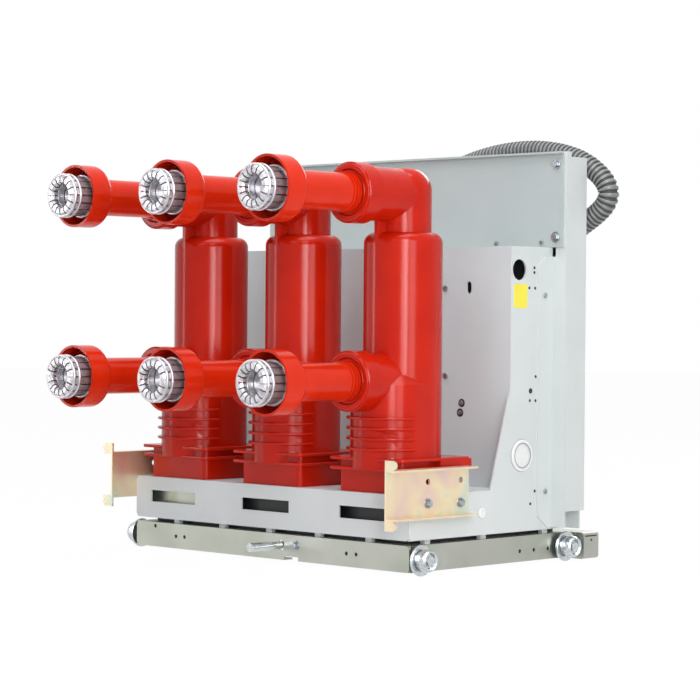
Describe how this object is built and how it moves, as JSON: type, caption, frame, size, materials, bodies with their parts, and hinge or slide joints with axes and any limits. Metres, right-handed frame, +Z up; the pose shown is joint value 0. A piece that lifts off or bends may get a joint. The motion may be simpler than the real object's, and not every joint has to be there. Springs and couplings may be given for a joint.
{
  "type": "withdrawable vacuum circuit breaker",
  "caption": "Withdrawable indoor vacuum circuit breaker: cast epoxy poles with tulip contacts on a steel housing and a wheeled racking truck.",
  "frame": {"origin": "on the floor, under the middle of the breaker's overall length and width", "axes": "+X across the phases to the right side plate, +Y from the contact arms towards the operator's panel, +Z up"},
  "size_m": [0.6947, 0.692, 0.6574],
  "materials": {
    "epoxy": "gloss",
    "contact_silver": "satin",
    "painted_sheet": "satin",
    "truck_steel": "satin",
    "shutter_steel": "satin",
    "wheel_steel": "polished",
    "screw_steel": "satin",
    "white_plastic": "satin",
    "black_plastic": "matte",
    "conduit_plastic": "satin"
  },
  "bodies": {
    "breaker": {"base_tray": "painted_sheet", "charging_socket": "black_plastic", "conduit": "conduit_plastic", "conduit_gland": "black_plastic", "conduit_plug": "black_plastic", "front_panel": "painted_sheet", "housing_top": "painted_sheet", "indicator_windows": "black_plastic", "panel_angle_left": "painted_sheet", "panel_angle_right": "painted_sheet", "plug_bracket": "painted_sheet", "pole_left": "epoxy", "pole_middle": "epoxy", "pole_right": "epoxy", "push_buttons": "black_plastic", "rear_wall": "painted_sheet", "screw_nut": "screw_steel", "shutter_plate_left": "shutter_steel", "shutter_plate_right": "shutter_steel", "side_cap_left": "white_plastic", "side_cap_right": "white_plastic", "side_plate_left": "painted_sheet", "side_plate_right": "painted_sheet", "sleeve_lower_left": "epoxy", "sleeve_lower_middle": "epoxy", "sleeve_lower_right": "epoxy", "sleeve_upper_left": "epoxy", "sleeve_upper_middle": "epoxy", "sleeve_upper_right": "epoxy", "stub_axles": "wheel_steel", "truck_deck": "truck_steel", "truck_rear_plate": "truck_steel", "truck_side_left": "truck_steel", "truck_side_right": "truck_steel", "tulip_lower_left": "contact_silver", "tulip_lower_middle": "contact_silver", "tulip_lower_right": "contact_silver", "tulip_upper_left": "contact_silver", "tulip_upper_middle": "contact_silver", "tulip_upper_right": "contact_silver", "upper_back_sheet": "painted_sheet"},
    "rear_left_wheel": {"wheel_rear_left": "wheel_steel"},
    "rear_right_wheel": {"wheel_rear_right": "wheel_steel"},
    "front_left_wheel": {"wheel_front_left": "wheel_steel"},
    "front_right_wheel": {"wheel_front_right": "wheel_steel"},
    "crossbeam": {"crossbeam": "truck_steel", "beam_handles": "black_plastic"},
    "racking_screw": {"lead_screw": "screw_steel"}
  },
  "joints": [
    {"name": "rear_left_axle", "type": "hinge", "parent": "breaker", "child": "rear_left_wheel", "pos_m": [-0.31475, -0.0925, 0.023], "axis": [1, 0, 0], "continuous": true},
    {"name": "rear_right_axle", "type": "hinge", "parent": "breaker", "child": "rear_right_wheel", "pos_m": [0.31475, -0.0925, 0.023], "axis": [1, 0, 0], "continuous": true},
    {"name": "front_left_axle", "type": "hinge", "parent": "breaker", "child": "front_left_wheel", "pos_m": [-0.31475, 0.24, 0.023], "axis": [1, 0, 0], "continuous": true},
    {"name": "front_right_axle", "type": "hinge", "parent": "breaker", "child": "front_right_wheel", "pos_m": [0.31475, 0.24, 0.023], "axis": [1, 0, 0], "continuous": true},
    {"name": "racking_travel", "type": "slide", "parent": "breaker", "child": "crossbeam", "axis": [0, 1, 0], "range_m": [0, 0.2]},
    {"name": "screw_turn", "type": "hinge", "parent": "crossbeam", "child": "racking_screw", "pos_m": [0.034, 0.304, 0.0275], "axis": [0, 1, 0], "continuous": true}
  ],
  "couplings": [
    {"joint": "screw_turn", "follows": "racking_travel", "rad_per_m": -628.32}
  ]
}
